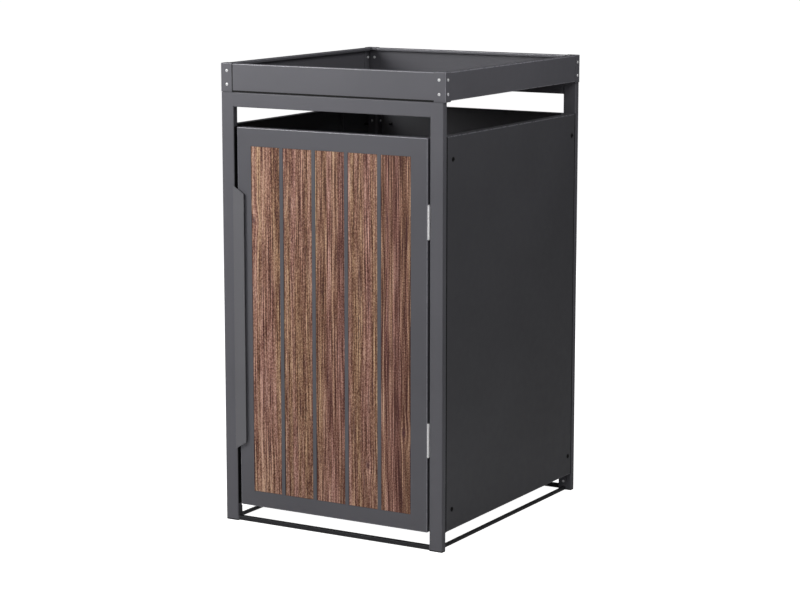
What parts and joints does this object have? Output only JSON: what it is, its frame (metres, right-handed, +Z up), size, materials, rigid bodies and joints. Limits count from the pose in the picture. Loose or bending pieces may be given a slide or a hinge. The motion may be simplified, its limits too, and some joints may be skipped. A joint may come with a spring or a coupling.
{
  "type": "single wheelie-bin store",
  "caption": "Powder-coated steel enclosure for one two-wheeled bin, with a hinged door faced with wood-look planks and an open planter tray on top.",
  "frame": {"origin": "on the ground, under the middle of the whole object's box", "axes": "+Z up, -Y the way the door faces, +X to the right of someone facing the door"},
  "size_m": [0.716, 0.814, 1.3],
  "materials": {
    "frame_paint": "anthracite powder coat, satin, fine texture",
    "panel_paint": "anthracite powder coat, satin, fine texture",
    "tray_paint": "anthracite powder coat, satin, fine texture",
    "door_paint": "anthracite powder coat, satin, fine texture",
    "handle_paint": "anthracite powder coat, satin, fine texture",
    "plank_wood": "walnut-look boards with fine long grain, matt sealed",
    "bright_steel": "bright zinc-plated steel",
    "black_bolt": "black coated steel",
    "black_plastic": "black moulded plastic",
    "magnet_black": "black coated magnet"
  },
  "bodies": {
    "cabinet": {"post_front_left": "frame_paint", "post_front_right": "frame_paint", "post_rear_left": "frame_paint", "post_rear_right": "frame_paint", "top_rail_front": "frame_paint", "top_rail_rear": "frame_paint", "base_rail_front": "frame_paint", "base_rail_rear": "frame_paint", "base_rail_left": "frame_paint", "base_rail_right": "frame_paint", "side_panel_left": "panel_paint", "side_panel_right": "panel_paint", "back_panel": "panel_paint", "panel_rib_left": "panel_paint", "panel_rib_right": "panel_paint", "tray_board_front": "tray_paint", "tray_board_rear": "tray_paint", "tray_board_left": "tray_paint", "tray_board_right": "tray_paint", "tray_corner_front_left": "tray_paint", "tray_corner_front_right": "tray_paint", "tray_corner_rear_left": "tray_paint", "tray_corner_rear_right": "tray_paint", "tray_floor": "tray_paint", "foot_cap_front_left": "black_plastic", "foot_cap_front_right": "black_plastic", "foot_cap_rear_left": "black_plastic", "foot_cap_rear_right": "black_plastic", "bolt_left_front_lower": "black_bolt", "bolt_left_front_upper": "black_bolt", "bolt_left_rear_lower": "black_bolt", "bolt_left_rear_upper": "black_bolt", "bolt_right_front_lower": "black_bolt", "bolt_right_front_upper": "black_bolt", "bolt_right_rear_lower": "black_bolt", "bolt_right_rear_upper": "black_bolt", "bolt_back_left_lower": "black_bolt", "bolt_back_left_upper": "black_bolt", "bolt_back_right_lower": "black_bolt", "bolt_back_right_upper": "black_bolt", "hinge_frame_leaf_lower": "bright_steel", "hinge_frame_leaf_upper": "bright_steel", "hinge_pin_lower": "bright_steel", "hinge_pin_upper": "bright_steel", "catch_bracket": "frame_paint", "catch_magnet": "magnet_black"},
    "door": {"door_frame": "door_paint", "plank_1": "plank_wood", "plank_2": "plank_wood", "plank_3": "plank_wood", "plank_4": "plank_wood", "plank_5": "plank_wood", "plank_batten_lower": "door_paint", "plank_batten_middle": "door_paint", "plank_batten_upper": "door_paint", "handle": "handle_paint", "hinge_door_leaf_lower": "bright_steel", "hinge_door_leaf_upper": "bright_steel", "catch_strike": "bright_steel"}
  },
  "joints": [
    {"name": "door_hinge", "type": "hinge", "parent": "cabinet", "child": "door", "pos_m": [0.3095, -0.399, 0.6], "axis": [0, 0, 1], "range_deg": [0, 120]}
  ]
}
